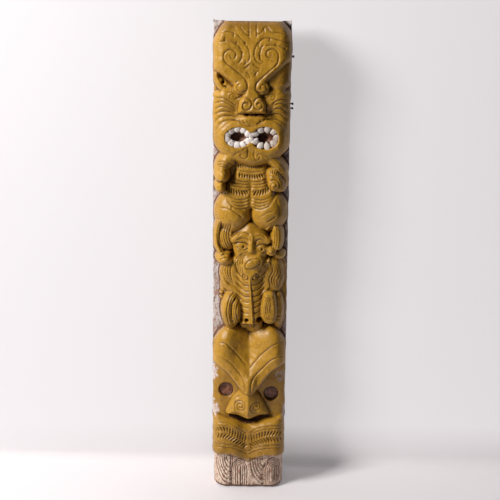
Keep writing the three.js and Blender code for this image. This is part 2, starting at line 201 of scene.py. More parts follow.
def gouge(*lines, width=4.2, depth=3.0, fade=5.0, steps=7):
    """Grooves of one V-shaped gouge, each running out shallow at both ends."""
    for points in lines:
        here, nearest, _, run, length = beside(smooth_path(points, steps=steps), width)
        ends = held(np.minimum(run, length - run) / fade + 0.25)
        wood[here] -= depth * ends * held(1 - nearest / (width / 2))


def bands(points, offsets, width=4.0, depth=2.4, fade=5.0):
    """Grooves side by side that follow one line, each at its own distance from it."""
    here, _, lateral, run, length = beside(smooth_path(points), max(abs(o) for o in offsets) + width)
    ends = held(np.minimum(run, length - run) / fade)
    for offset in offsets:
        wood[here] -= depth * ends * held(1 - np.abs(lateral - offset) / (width / 2))


def notches(points, pitch, cut, depth, slant=0.0):
    """A row of short chisel cuts across a line, a pitch apart."""
    here, nearest, lateral, run, length = beside(smooth_path(points), cut / 2)
    wave = 0.5 + 0.5 * np.cos(2 * math.pi * (run + slant * lateral) / pitch)
    ends = held(np.minimum(run, length - run) / 3)
    across_row = held(1.6 * (1 - nearest / (cut / 2)))
    wood[here] -= depth * ends * across_row * wave


def spiral(x, z, radius, turns=1.6, start=0.0, way=1, width=3.6, depth=2.6, inner=0.2):
    """A coiled groove, from its rim to its eye."""
    t = np.linspace(0, 1, int(14 * turns) + 4)
    angle = start + way * 2 * math.pi * turns * t
    r = radius * (1 - (1 - inner) * t)
    coil = np.column_stack([x + r * np.cos(angle), z + r * np.sin(angle)])
    gouge(coil, width=width, depth=depth, fade=3, steps=2)


def flip(points):
    """The same line on the other side of the middle."""
    return [(-x, z) for x, z in points]


# The large mask at the top: a heart-shaped plate of forehead and brows, slanting
# eyes under it, a short nose, ribbed cheeks and the broad smooth ring of the lips.
plate([(-120, 1000), (120, 1000), (120, 1160), (-120, 1160)], crown=84, rim=8)
plate([(-99, 1134), (-101, 1186), (-96, 1204), (-83, 1228), (-70, 1246), (-54, 1264), (56, 1264), (78, 1246),
       (92, 1230), (105, 1206), (110, 1180), (104, 1157), (90, 1149), (74, 1134), (57, 1119), (43, 1105),
       (37, 1092), (30, 1080), (16, 1077), (0, 1076), (-16, 1077), (-30, 1079), (-40, 1088),
       (-56, 1103), (-74, 1117), (-90, 1127)],
      crown=110, crown_below=121, rim=17, foot=84)
mound(-25, 1092, 20, 19, crown=120, foot=106, rim=0.8, fillet=8)
mound(25, 1092, 19, 19, crown=120, foot=106, rim=0.8, fillet=8)

# eyelids, slits and the slivers of eyeball in them
for side in (-1, 1):
    lid = [(side * x, z) for x, z in ((93, 1122), (84, 1102), (72, 1088), (56, 1080), (43, 1082))]
    limb(lid, radius=11, crown=104, foot=80)
sink([(-88, 1121), (-77, 1114), (-63, 1103), (-47, 1090), (-58, 1087), (-70, 1091), (-81, 1105)], floor=90, wall=5)
limb([(-84, 1108), (-66, 1098), (-50, 1089)], radius=6, crown=98, foot=88)
drill(-71, 1102, 4.5, 5, floor=80, wall=0.4)
plate([(112, 1172), (88, 1160), (60, 1142), (36, 1118), (34, 1096), (48, 1084), (66, 1080), (88, 1090), (112, 1108)],
      crown=107, rim=13, foot=92, fillet=8, soft=True)
gouge([(92, 1106), (80, 1092), (64, 1084), (50, 1084)], width=5)

# nose with its coiled wings, standing out furthest of all
plate([(-110, 1000), (-110, 1058), (-90, 1080), (-54, 1086), (-20, 1092), (20, 1092), (58, 1086), (90, 1082),
       (110, 1062), (110, 1000)], crown=104, crown_below=101, rim=13, foot=80, fillet=6)
mound(-50, 1062, 34, 30, crown=109, foot=98, fillet=6)
mound(54, 1062, 34, 30, crown=108, foot=98, fillet=6)
plate([(-12, 1140), (12, 1140), (16, 1104), (20, 1082), (28, 1068), (35, 1056), (37, 1040), (37, 1029), (34, 1026),
       (-29, 1026), (-34, 1029), (-34, 1040), (-32, 1056), (-26, 1068), (-18, 1082), (-15, 1104)],
      crown=116, crown_below=124, rim=11, foot=98, fillet=6)

# the lips: one wide smooth ring down to the chin
mound(1, 1008, 40, 19, crown=117, foot=100, rim=0.8, fillet=8)
plate([(-97, 1000), (-78, 1013), (-40, 1022), (0, 1021), (42, 1022), (80, 1013), (99, 1000), (102, 966),
       (92, 932), (58, 906), (22, 892), (0, 889), (-26, 896), (-64, 914), (-90, 936), (-100, 966)],
      crown=106, crown_below=117, rim=28, foot=84, fillet=14)
lobes = ((-33, 967, 32, 25), (35, 966, 33, 28))
for x, z, wide, tall in lobes:
    mound(x, z, wide + 18, tall + 17, crown=119, foot=108, rim=0.9, fillet=8)
for lobe in lobes:
    drill(*lobe, floor=101, wall=0.05)
sink([(-11, 978), (0, 980), (11, 978), (14, 967), (11, 957), (0, 955), (-11, 957), (-14, 967)],
     floor=101, wall=1.5)
drill(-35, 966, 20, 14, floor=95, wall=0.3)
drill(26, 965, 21, 15, floor=92, wall=0.3)

# the lines of the forehead
gouge([(-7, 1255), (-7, 1236), (-7, 1214)],
      [(11, 1255), (11, 1236), (11, 1213)],
      [(-45, 1224), (-44, 1213)],
      [(29, 1233), (30, 1224)],
      [(-17, 1204), (-17, 1192)],
      [(-15, 1160), (-15, 1150)],
      [(-65, 1213), (-68, 1203)],
      [(-38, 1204), (-38, 1194)],
      [(-24, 1180), (-21, 1172)], fade=3)
gouge([(-70, 1250), (-56, 1242), (-40, 1236)], width=5)
gouge([(-29, 1238), (-24, 1230), (-16, 1221), (-6, 1216)],
      [(-84, 1222), (-70, 1225), (-52, 1225), (-44, 1221)],
      [(12, 1220), (22, 1224), (29, 1235), (35, 1238), (43, 1230), (48, 1225), (70, 1224), (80, 1218)],
      [(-38, 1221), (-20, 1203), (-10, 1188), (-5, 1170), (-8, 1156), (-22, 1146)],
      [(-82, 1200), (-64, 1204), (-42, 1199), (-30, 1189), (-24, 1173), (-26, 1160), (-34, 1150)])
left_coil = [(-44, 1160), (-39, 1168), (-41, 1177), (-50, 1183), (-60, 1181), (-68, 1172), (-69, 1160),
             (-62, 1150), (-46, 1138), (-28, 1124), (-16, 1111), (-10, 1098), (-12, 1086), (-22, 1080),
             (-32, 1084), (-36, 1092), (-32, 1099), (-27, 1099)]
gouge(left_coil, width=4.6, depth=3.4)
gouge([(-55, 1172), (-50, 1162), (-44, 1159)],
      [(94, 1198), (78, 1203), (62, 1208), (45, 1211), (30, 1211), (18, 1202), (8, 1186), (6, 1170), (12, 1156),
       (26, 1148)],
      [(28, 1196), (22, 1185), (20, 1172), (22, 1160), (30, 1153)],
      [(33, 1194), (48, 1195), (64, 1193), (78, 1187), (88, 1176), (90, 1160)])
gouge([(-41, 1101), (-37, 1106), (-33, 1108)],
      [(43, 1213), (43, 1203)],
      [(18, 1200), (16, 1190)],
      [(57, 1200), (58, 1192)],
      [(81, 1192), (81, 1184)], fade=3)
gouge([(17, 1178), (19, 1168), (21, 1160)], fade=3, width=3)
right_coil = [(48, 1166), (40, 1166), (35, 1173), (39, 1182), (50, 1186), (60, 1181), (65, 1168),
              (62, 1150), (50, 1138), (30, 1120), (14, 1104), (10, 1090), (14, 1082), (24, 1079),
              (34, 1083), (37, 1092), (32, 1100), (25, 1099), (22, 1092), (26, 1088)]
gouge(right_coil, width=4.6, depth=3.4)
for side in (-1, 1):
    gouge([(side * 4, 1151), (side * 10, 1143), (side * 20, 1138)], fade=3)
gouge([(-14, 1130), (-7, 1124), (-3, 1114)],
      [(20, 1134), (12, 1129), (8, 1119)], fade=3)
gouge([(92, 1142), (70, 1124), (46, 1102)], width=3, depth=1.6)
gouge([(-92, 1140), (-70, 1124), (-46, 1104)], width=3, depth=1.2)

# lines of the nose, the slot below it and the small curls of the upper lip
gouge([(-40, 1062), (-26, 1068), (-9, 1066), (1, 1056), (-1, 1043), (-12, 1037), (-21, 1043), (-19, 1053),
       (-10, 1055), (-7, 1049)],
      [(41, 1062), (28, 1068), (14, 1066), (6, 1056), (8, 1043), (18, 1038), (27, 1045), (24, 1054), (16, 1054),
       (14, 1048)], width=5, depth=4.2)
gouge([(-32, 1078), (-20, 1076), (-10, 1078)], width=3.5, depth=2)
sink([(-16, 1025), (19, 1025), (17, 1021), (-14, 1021)], floor=108, wall=1.2)
drill(-10, 1023, 5, 3, floor=94)
drill(13, 1023, 5, 3, floor=94)
gouge([(-32, 1016), (-26, 1004), (-10, 997), (12, 997), (27, 1004), (34, 1016)], width=4)
gouge([(-21, 1012), (-19, 1006), (-12, 1002), (-4, 1002)], width=3.4, depth=2.6, fade=2)
gouge([(-11, 1010), (-7, 1005)], width=3, fade=2)
for x in (-2, 2.5, 7):
    gouge([(x, 1009), (x, 999)], width=2.6, depth=2.4, fade=2)
gouge([(24, 1012), (23, 1006), (17, 1002), (12, 1002)], width=3.4, depth=2.6, fade=2)

# ribs of the cheeks
for line in (
    [(-88, 982), (-80, 998), (-62, 1008), (-40, 1010), (-13, 1003)],
    [(-94, 998), (-82, 1013), (-62, 1020), (-36, 1018)],
    [(-97, 1016), (-82, 1027), (-60, 1031), (-40, 1024)],
    [(-97, 1032), (-76, 1042), (-55, 1039), (-38, 1028)],
    [(-95, 1048), (-74, 1055), (-54, 1048), (-37, 1036)],
    [(-88, 1064), (-66, 1063), (-50, 1054), (-37, 1044)],
    [(14, 1002), (36, 1012), (62, 1012), (80, 1003), (91, 984)],
    [(34, 1016), (50, 1025), (70, 1025), (87, 1012), (96, 992)],
    [(40, 1022), (56, 1037), (76, 1038), (91, 1024), (97, 1006)],
    [(44, 1032), (60, 1049), (80, 1050), (95, 1036)],
    [(48, 1044), (62, 1058), (82, 1061), (96, 1050)],
):
    gouge(line, width=5.4, depth=3.6)
spiral(-47, 1067, 10, start=-1.2)
spiral(52, 1067, 11, start=-2.0, way=-1)
gouge([(-62, 1076), (-50, 1079), (-40, 1074)], width=3)

# hooks of the chin
gouge([(-20, 937), (-9, 943), (-8, 930), (-9, 918), (-16, 914), (-24, 916), (-27, 923), (-23, 926)],
      [(9, 938), (8, 926), (9, 915), (14, 910), (21, 915), (22, 921)], fade=2)
gouge([(-46, 914), (-42, 922), (-34, 929), (-24, 931)],
      [(15, 920), (20, 926), (28, 926), (40, 920), (50, 912)], fade=3)

# The mask's own arms held to its chest, each ending in a coiled hand, the ribbed
# body between them and the two heavy thighs below.
plate([(-62, 925), (62, 925), (70, 826), (-74, 826)], crown=86, rim=8, foot=66)
plate([(-44, 920), (-45, 872), (-70, 832), (-70, 806), (-40, 780), (40, 780), (64, 806), (60, 834),
       (44, 856), (38, 920)], crown=92, crown_below=106, rim=16, foot=70)
mound(-44, 768, 52, 60, crown=113, foot=66, fillet=10)
mound(46, 772, 52, 58, crown=113, foot=66, fillet=10)
limb([(-50, 918), (-68, 898), (-76, 876)], radius=26, crown=108, end_radius=23, end_crown=116, foot=66, fillet=5)
mound(-74, 868, 22, 21, crown=125, foot=84, fillet=5)
mound(-79, 840, 16, 19, crown=121, foot=84, rim=0.8, fillet=5)
limb([(36, 920), (60, 903), (78, 882), (88, 852)], radius=21, crown=108, end_radius=17, end_crown=108,
     foot=66, fillet=5)
plate([(42, 886), (62, 890), (80, 876), (92, 850), (92, 832), (80, 824), (56, 828), (42, 846), (38, 866)],
      crown=117, rim=17, foot=84, fillet=5)
mound(60, 847, 17, 17, crown=124, foot=104, fillet=5)

# ribs and chisel notches of the body
gouge([(0, 862), (0, 830), (0, 780), (-2, 744)], width=16, depth=5, fade=34)
notches([(-36, 892), (-15, 892), (0, 890), (18, 892), (36, 894)], pitch=5.4, cut=13, depth=7)
gouge([(-38, 881), (-12, 877), (0, 876), (14, 877), (38, 882)], width=4)
notches([(-34, 869), (-15, 866), (0, 864), (18, 865), (36, 869)], pitch=6.4, cut=14, depth=7,
        slant=0.2)
for drop in (0, 7.5, 15):
    gouge([(-42 - drop, 859 - drop), (-24, 853 - drop), (-3, 852 - drop)],
          [(3, 852 - drop), (22, 852 - drop), (40 + drop / 2, 859 - drop)], width=4.6, depth=3.6)
notches([(-60, 838), (-44, 828), (-22, 823), (-5, 825)], pitch=7, cut=17, depth=8, slant=0.5)
notches([(5, 823), (22, 824), (38, 830), (54, 842)], pitch=7, cut=18, depth=8, slant=-0.5)
for drop in (0, 8, 16, 24):
    gouge([(-68 + drop / 8, 826 - drop / 2), (-48, 811 - drop * 0.8), (-24, 806 - drop), (-3, 811 - drop)],
          [(3, 811 - drop), (24, 806 - drop), (46, 811 - drop * 0.8),
           (66 - drop / 8, 826 - drop / 2)], width=5, depth=3.6)

# lines of the arms and hands
for reach in (21, 27, 33):
    arc = [math.radians(a) for a in (125, 95, 60, 25, -10, -45)]
    gouge([(-71 + reach * math.cos(a), 870 + reach * math.sin(a) * 1.05) for a in arc], width=5, depth=4.6)
gouge([(-40, 912), (-39, 886), (-50, 858), (-62, 832)], width=10, depth=2.5, fade=10)
gouge([(-94, 858), (-80, 853), (-66, 856)], width=6, depth=5)
gouge([(-84, 882), (-74, 889), (-64, 888)],
      [(-96, 872), (-90, 886), (-76, 898)], width=4.5)
spiral(60, 847, 15, turns=1.8, start=2.4, way=-1, width=5, depth=5)
notches([(44, 879), (58, 880), (74, 872), (82, 860)], pitch=5.6, cut=13, depth=6.5)
gouge([(42, 870), (56, 870), (72, 862), (78, 850)], width=4.4, depth=3.4)
bands([(62, 912), (82, 892), (94, 862), (95, 838)], [-9, -2, 5], width=4.8, depth=3.4)
gouge([(66, 838), (74, 828), (88, 826)], width=5, depth=4)
for reach in (0, 6, 12):
    gouge([(78 + reach * 0.4, 852 - reach), (84 + reach * 0.3, 846 - reach)], width=3.6, fade=2)

# lines of the thighs
gouge([(-80, 784), (-64, 784), (-48, 780), (-32, 770), (-20, 760)],
      [(24, 762), (40, 773), (60, 780)], width=4.4)
gouge([(-50, 780), (-46, 790)], width=3.6, fade=3)
gouge([(66, 806), (73, 786), (74, 764)], width=5)
gouge([(42, 750), (54, 756), (64, 766)], width=5, depth=4)

# The small figure that stands on the lower face: a pointed head between two raised
# hands, a fluted cape of shoulders and ribs that meet at the spine, and bent legs.
plate([(-64, 660), (84, 660), (84, 450), (-58, 450)], crown=74, rim=8)
plate([(-44, 656), (-68, 642), (-80, 615), (-79, 588), (-68, 562), (-52, 543), (-44, 515), (0, 495), (44, 515),
       (56, 543), (78, 557), (90, 580), (91, 611), (82, 641), (52, 657)], crown=98, crown_below=94, rim=24,
      foot=66, fillet=4)
limb([(0, 600), (4, 545), (8, 462)], radius=35, crown=108, foot=80, end_radius=27, end_crown=106, fillet=6)
plate([(-40, 652), (-36, 622), (-22, 596), (0, 576), (22, 588), (40, 614), (52, 652)], crown=103, crown_below=112,
      rim=16, foot=88, fillet=3)
limb([(-80, 746), (-88, 712), (-86, 682), (-74, 664)], radius=12, crown=104)
mound(-62, 704, 29, 44, crown=100, foot=64, rim=0.8)
mound(-66, 648, 27, 22, crown=111, foot=68)
plate([(54, 738), (70, 742), (86, 728), (88, 690), (80, 672), (60, 670), (50, 690)], crown=108, rim=12, fillet=4)
mound(54, 671, 14, 15, crown=114, foot=90)
mound(74, 658, 20, 16, crown=100, foot=66)
plate([(-3, 746), (-24, 732), (-42, 716), (-46, 694), (-44, 670), (-38, 652), (-36, 630), (-29, 606), (-16, 589),
       (0, 582), (18, 589), (30, 606), (38, 630), (44, 652), (50, 670), (51, 694), (44, 716), (24, 732)],
      crown=105, crown_below=114, rim=24, foot=84, fillet=5)
limb([(-42, 700), (-24, 712), (-4, 708)], radius=9, crown=109, foot=104, fillet=5)
limb([(10, 708), (26, 711), (46, 699)], radius=9, crown=109, foot=104, fillet=5)
limb([(3, 712), (3, 694), (3, 676)], radius=7, crown=112, foot=104, end_crown=118, end_radius=10, fillet=6)
for x, z, turn in ((-22, 684, -0.1), (32, 677, 0.12)):
    mound(x, z, 17, 5.5, crown=107, foot=102, turn=turn, rim=0.8)
mound(7, 641, 27, 18, crown=119, foot=106, turn=0.26, rim=0.8, fillet=6)

# its brow, eyes, nose and mouth
gouge([(-34, 712), (-20, 720), (-6, 718), (1, 709), (2, 696)],
      [(-36, 701), (-20, 707), (-6, 704), (1, 696)], width=4, depth=3.4)
gouge([(-44, 690), (-30, 694), (-12, 693), (-3, 686)], width=5, depth=5)
gouge([(-38, 686), (-26, 676), (-14, 675), (-5, 682)], width=3.8)
drill(-17, 683, 2.7, 3.4, floor=98, wall=0.6)
gouge([(16, 712), (24, 715), (34, 712), (40, 704)],
      [(14, 688), (17, 700), (26, 704), (38, 700)], width=4, depth=3.4)
gouge([(16, 684), (28, 690), (40, 688), (52, 680)], width=5.4, depth=5)
gouge([(20, 676), (30, 669), (42, 669), (48, 676)], width=3.8)
drill(31, 677, 2.9, 3.2, floor=98, wall=0.6)
gouge([(-13, 630), (-9, 643), (4, 652), (20, 654), (27, 648), (22, 637), (8, 628), (-6, 625), (-13, 630)],
      width=4.4, depth=4.6, fade=1)
for grow in (0, 5.5, 11, 16.5):
    gouge([(-20 - grow, 634 - grow / 3), (-19 - grow, 650), (-9 - grow / 2, 662 + grow / 3)],
          [(32 + grow / 2, 634 - grow / 2), (37 + grow / 2, 650), (30 + grow / 2, 662 + grow / 4)], depth=4.6)
    gouge([(-38 + grow, 640 - grow * 0.6), (-33 + grow, 616 - grow * 0.3), (-20 + grow * 0.5, 598 - grow * 0.1)],
          [(48 - grow, 640 - grow * 0.6), (40 - grow, 616 - grow * 0.3),
           (26 - grow * 0.5, 600 - grow * 0.1)], width=4, depth=4.4)
spiral(-10, 601, 10, turns=1.5, start=1.6, width=4.4, depth=5.4)
spiral(14, 602, 10, turns=1.5, start=1.6, way=-1, width=4.4, depth=5.4)

# its fluted cape: lines hung from the shoulders that meet at the spine
for i in range(6):
    foot_z = 578 - 15.5 * i
    gouge([(-37, foot_z + 24), (-24, foot_z + 9), (-12, foot_z), (1, foot_z + 2)],
          [(5, foot_z + 4), (18, foot_z + 3), (30, foot_z + 12), (40, foot_z + 26)], width=6, depth=3.8, fade=8)
for i in range(5):
    gouge([(-47 - 6.5 * i, 640 - 3 * i), (-51 - 6.5 * i, 612), (-46 - 5 * i, 588 + i), (-36 - 4 * i, 566 + 2 * i)],
          width=4.8, depth=5, fade=6)
    gouge([(52 + 7 * i, 642 - 4 * i), (60 + 6.5 * i, 618 - 2 * i), (50 + 7 * i, 594 - i), (54 + 6 * i, 574 + i),
           (44 + 6 * i, 560 + 2 * i)], width=4.4, depth=4, fade=6)
gouge([(0, 594), (4, 545), (7, 500), (9, 448)], width=7, depth=-5, fade=4)
gouge([(3, 588), (8, 545), (12, 500), (13, 458)], width=3.6, depth=3.4)

# its raised hands
bands([(-62, 744), (-68, 706), (-56, 670)], [-17, -11, -5, 1, 7, 13], width=5, depth=4.6)
for lift in (0, 8, 16):
    gouge([(-78, 664 - lift), (-62, 670 - lift), (-46, 664 - lift), (-42, 652 - lift)], width=5, depth=4.4, fade=3)
drill(-48, 655, 7, 9, floor=72)
bands([(70, 736), (71, 704), (68, 676)], [-13, -7, -1, 5, 11], width=4.6, depth=4)
spiral(54, 672, 10, turns=1.5, start=0.5, width=4, depth=3.4)
for i in range(7):
    a = 0.1 - 0.36 * i
    gouge([(66 + 13 * math.cos(a), 668 + 11 * math.sin(a)), (66 + 26 * math.cos(a), 668 + 25 * math.sin(a))],
          width=4, depth=3.6, fade=2)
limb([(38, 744), (47, 740), (62, 744)], radius=5, crown=106)
limb([(42, 728), (56, 742)], radius=4.5, crown=106)
limb([(58, 728), (64, 742)], radius=4, crown=104)

# bent legs with their ribs, and the feet
mound(-48, 506, 29, 57, crown=110, foot=68, rim=0.6, fillet=3)
plate([(38, 561), (60, 563), (70, 545), (74, 501), (66, 475), (46, 471), (30, 487), (27, 519), (32, 547)],
      crown=114, rim=12, foot=80, fillet=3)
mound(74, 508, 18, 56, crown=96, foot=64, rim=0.6)
bands([(-36, 555), (-49, 540), (-55, 507), (-49, 475), (-39, 459)], [-4, 2, 8, 14, 20], width=5, depth=5,
      fade=8)
gouge([(-36, 543), (-45, 527), (-47, 497), (-41, 469)], width=9, depth=8)
for z in np.arange(478, 540, 8.2):
    mound(-44.5, z, 3.6, 4, crown=105, foot=96)
for inset in (4, 9, 14, 19):
    gouge([(31 + inset, 486 + inset), (28 + inset, 512), (34 + inset * 0.8, 550 - inset), (53, 559 - inset),
           (66 - inset * 0.6, 544 - inset), (70 - inset, 500 + inset * 0.2)], width=3.8, depth=4.2)
for z in (488, 498):
    gouge([(40, z), (56, z - 8), (84, z - 2)], width=4, depth=2.6)
mound(-11, 464, 16, 15, crown=108, foot=84)
mound(22, 460, 14, 13, crown=98, foot=80)
drill(-7, 480, 5.5, 6, floor=78)
drill(26, 482, 10, 8, floor=74)
for z in (538, 550):
    mound(-74, z, 7, 5, crown=84, foot=64)

# The wide lower face: two great brow lobes with a valley between them, bare round
# eye sockets, a broad nose with coiled wings, and a notched band for the mouth.
plate([(-130, 90), (130, 90), (130, 400), (-130, 400)], crown=87, rim=8)
brow = [(16, 400), (6, 430), (-12, 451), (-42, 460), (-64, 456), (-82, 442), (-93, 424), (-104, 402),
        (-118, 380), (-118, 352), (-94, 354), (-62, 333), (-40, 305), (-24, 284), (-8, 274), (10, 284), (12, 326)]
plate(brow, crown=106, crown_below=128, rim=38, foot=78, fillet=6)
plate(flip(brow), crown=106, crown_below=128, rim=38, foot=78, fillet=6)
tongue = [(-118, 398), (-118, 354), (-94, 356), (-62, 335), (-40, 307), (-24, 286), (-8, 276), (7, 284), (7, 330),
          (-12, 354), (-40, 385), (-70, 402)]
plate(tongue, crown=108, crown_below=124, rim=13, foot=80, fillet=4)
plate(flip(tongue), crown=108, crown_below=124, rim=13, foot=80, fillet=4)
here, hx, hz = window_round((-88, 300), (84, 470))
from_valley = np.where(hx < -5, (-5 - hx) / 60, (hx + 5) / 84)
valley = 0.5 + 0.5 * np.cos(math.pi * held(from_valley))
wood[here] -= 25 * valley * held((hz - 310) / 90)
plate([(-9, 330), (9, 330), (16, 288), (32, 266), (45, 242), (56, 214), (32, 210), (16, 204), (0, 196), (-18, 204),
       (-36, 210), (-62, 214), (-55, 240), (-43, 264), (-26, 286)], crown=100, crown_below=119, rim=26, foot=84,
      fillet=8)
bands([(0, 372), (-1, 300), (-2, 192)], [0], width=46, depth=-12, fade=46)
band = [(-130, 75), (-98, 79), (-70, 82), (-50, 80), (-30, 73), (-12, 62), (0, 57), (13, 63), (30, 73),
        (50, 80), (98, 79), (130, 75), (130, 216), (98, 215), (56, 213), (26, 206), (8, 200), (-12, 200),
        (-30, 206), (-58, 213), (-98, 216), (-130, 216)]
plate(band, crown=114, crown_below=120, rim=24, foot=80, fillet=12, soft=True)
plate([(-100, 140), (100, 140), (98, 212), (56, 208), (26, 200), (8, 194), (-12, 194), (-30, 200), (-58, 208),
       (-98, 212)], crown=109, rim=13, foot=80, fillet=8, soft=True)
here, hx, hz = window_round((-50, 60), (50, 206))
wood[here] -= 12 * (0.5 + 0.5 * np.cos(math.pi * held(np.abs(hx) / 46)))
sink([(-57, 216), (-36, 212), (-18, 206), (0, 199), (16, 206), (32, 212), (52, 216), (46, 211),
      (24, 202), (6, 194), (-8, 194), (-26, 202), (-50, 211)], floor=74)
here, hx, hz = window_round((-30, 160), (30, 206))
wood[here] -= 6 * held(1 - np.hypot(hx / 29, (hz - 188) / 18)) ** 0.7
sockets = ((-61, 279), (60, 270))
for x, z in sockets:
    drill(x, z, 20.5, 20.5, floor=78, wall=0.08)
drill(-61, 283, 2, 2, floor=72)

# lines of the brows and the nose
gouge([(-80, 419), (-62, 419), (-48, 405), (-35, 390), (-18, 369), (-8, 355)],
      [(90, 421), (66, 417), (50, 404), (35, 389), (18, 369), (3, 350)], width=4.4, depth=3.4)
gouge([(-92, 385), (-70, 381), (-50, 368), (-34, 349), (-20, 329), (-12, 313), (-9, 297), (-14, 283)],
      width=4)
gouge([(94, 385), (70, 382), (52, 369), (34, 349), (18, 333), (8, 317), (5, 297), (8, 281)],
      width=5, depth=4)
spiral(-21, 243, 17, turns=2.1, start=-2.4, way=-1, width=4.6, depth=3.4, inner=0.15)
spiral(20, 241, 17, turns=1.9, start=-1.2, way=-1, width=4.6, depth=3.4)
gouge([(-46, 230), (-48, 246), (-38, 262), (-24, 270)], width=4.4)
gouge([(0, 210), (10, 218), (24, 221), (38, 219)], width=4, depth=2.6)
gouge([(-40, 219), (-22, 220), (-8, 213)], width=3.4, depth=2)

# notched band of the mouth
for drop in (0, 8):
    gouge([(-84, 193 - drop), (-64, 195 - drop), (-48, 191 - drop), (-26, 176 - drop), (-4, 158 - drop)],
          [(4, 158 - drop), (20, 174 - drop), (45, 185 - drop), (80, 188 - drop),
           (94, 187 - drop)], width=4.4, depth=3.4)
upper = [(-88, 173), (-62, 176), (-32, 161), (-3, 140)]
lower = [(-88, 154), (-62, 156), (-34, 142), (-4, 121)]
right_upper = [(3, 140), (24, 154), (50, 165), (90, 166)]
right_lower = [(4, 121), (24, 134), (50, 146), (90, 148)]
for row, lean in ((upper, 0.5), (lower, -0.4), (right_upper, -0.5), (right_lower, 0.4)):
    notches(row, pitch=8.2, cut=20, depth=6.4, slant=lean)
for drop in (0, 9):
    gouge([(-96, 132 - drop), (-70, 133 - drop), (-40, 130 - drop), (-18, 119 - drop), (-1, 107 - drop)],
          [(1, 107 - drop), (18, 119 - drop), (40, 128 - drop), (70, 132 - drop),
           (96, 131 - drop)], width=4.8, depth=3.4)

# The block at the foot, its upright edges well rounded and its front cut with beaded
# columns, arches and bowls.
block_top = 96
foot_part, bx, bz = window_round((-half_width, -1), (half_width, 116))
band_edge = np.interp(bx, [-98, -70, -50, -30, -12, 0, 13, 30, 50, 98],
                      [96, 101, 100, 93, 82, 78, 83, 93, 100, 95])
rounding, block_crown, block_drop = 34, 106, 36


def fall(share):
    """The fall of a rounded edge, 0 on top and 1 at its foot."""
    return 1 - np.sqrt(1 - held(share) ** 2)


block = block_crown - block_drop * fall((np.abs(bx) - (half_width - rounding)) / rounding)
wood[foot_part] = np.where(bz < band_edge, block, wood[foot_part])
block_cut = {"width": 4.3, "depth": 4.8}
quarter = np.linspace(math.pi, 1.5 * math.pi, 7)
for x, z, drop, reaches in ((-47, 94, 2.0, (12, 18, 24, 30, 36, 42)),
                            (48, 90, 1.95, (9, 15.5, 22, 28.5, 35, 41.5))):
    for reach in reaches:
        gouge([(x + reach * math.cos(a), z + drop * reach * math.sin(a)) for a in quarter], **block_cut)
for z in np.arange(22, 98, 7):
    mound(-53, z, 3.4, 3.2, crown=108, foot=100)
for z in np.arange(66, 92, 7):
    mound(43, z, 3.2, 3, crown=108, foot=100)
for x in (-48, -43):
    gouge([(x, 106), (x, 4)], **block_cut)
for reach in (4, 9.5, 15, 20.5):
    gouge([(-24 - reach, 6), (-24 - reach, 60), (-24, 60 + reach * 1.2), (-24 + reach, 60), (-24 + reach, 6)],
          **block_cut)
for reach in (4, 9.5, 15, 20.5, 26):
    gouge([(68 - reach, 30 - reach), (68 - reach, 56), (68, 56 + reach * 1.3), (68 + reach, 56), (68 + reach, 20)],
          **block_cut)

# the edges of the log: the carving falls away to both sides, the crown and the underside
edge_reach, edge_drop, top_reach, top_drop = 30.0, 42.0, 30, 34
wood -= 12 * fall((9 - along) / 9)[:, None]
fallen = edge_drop * fall((np.abs(across) - (half_width - edge_reach)) / edge_reach)
wood -= fallen[None, :] * held((wood - ground) / 62)
over_top = top_drop * fall((along - 1222) / top_reach)
wood -= over_top[:, None] * held((wood - ground) / 40)


def blurred(field, reach):
    """The field softened over a reach in millimetres, by three passes of a running mean."""
    n = max(1, int(round(reach / gouge_step)))
    for _ in range(2):
        for _ in range(3):
            total = np.cumsum(np.pad(field, ((n + 1, n), (0, 0)), mode="edge"), axis=0)
            field = (total[2 * n + 1:] - total[:-2 * n - 1]) / (2 * n + 1)
        field = field.T
    return field


def unevenness(reach):
    """Seeded random unevenness of about one, as coarse as its reach in millimetres."""
    field = blurred(chance.normal(size=wood.shape), reach)
    return field / field.std()


def raise_to(field, here, values):
    """Lifts a part of a field to the values, where they are higher."""
    field[here] = np.maximum(field[here], values)


# where the wood is bare and hollow: sockets, mouth, slit and nostrils
hollow = np.zeros(wood.shape)
for hole in (*((x, z, 20, 20) for x, z in sockets), *lobes, (0, 967, 14, 12)):
    here, out = oval(*hole)
    raise_to(hollow, here, out < 1)
slit, hx, hz = window_round((-62, 182), (62, 214))
raise_to(hollow, slit, (wood[slit] < 92) & (np.abs(hx) < 54))
slit_hollow = hollow[slit].copy()
here, _, _ = window_round((-19, 1019), (22, 1026))
raise_to(hollow, here, wood[here] < 112)

# where the ochre lies, and where it is rubbed off or lost
height = along[:, None] + 0 * across[None, :]
carved = (wood > ground + 3.5) | (blurred(wood, 7.0) > ground + 16)
paint = blurred((carved & (height > 0)).astype(float), 0.8)
paint[foot_part] = np.where(bz < band_edge, 0, paint[foot_part])
paint = blurred(paint, 0.5)
high = held((wood - blurred(wood, 5.0)) / 4)
wear = 0.34 * high * held((440 - height) / 40)
wear *= 1 - (np.abs(across[None, :]) < 60) * (height > 190) * (height < 300)
ragged = unevenness(1.6)
for x, z, wide, tall, share in ((-97, 330, 17, 36, 1), (86, 322, 20, 26, 0), (-97, 222, 18, 30, 1),
                                (97, 214, 9, 30, 1)):
    here, out = oval(x, z, wide, tall)
    near = held(1.6 - 1.6 * out + 0.3 * ragged[here])
    raise_to(wear, here, near * (1 - share))
    paint[here] *= 1 - share * held(3 * near - 0.9)
below = band_edge - bz
flaked = np.where(below < 0, held(1.3 + below / 5 + 0.4 * ragged[foot_part]), 0)
raise_to(wear, foot_part, 0.8 * flaked)

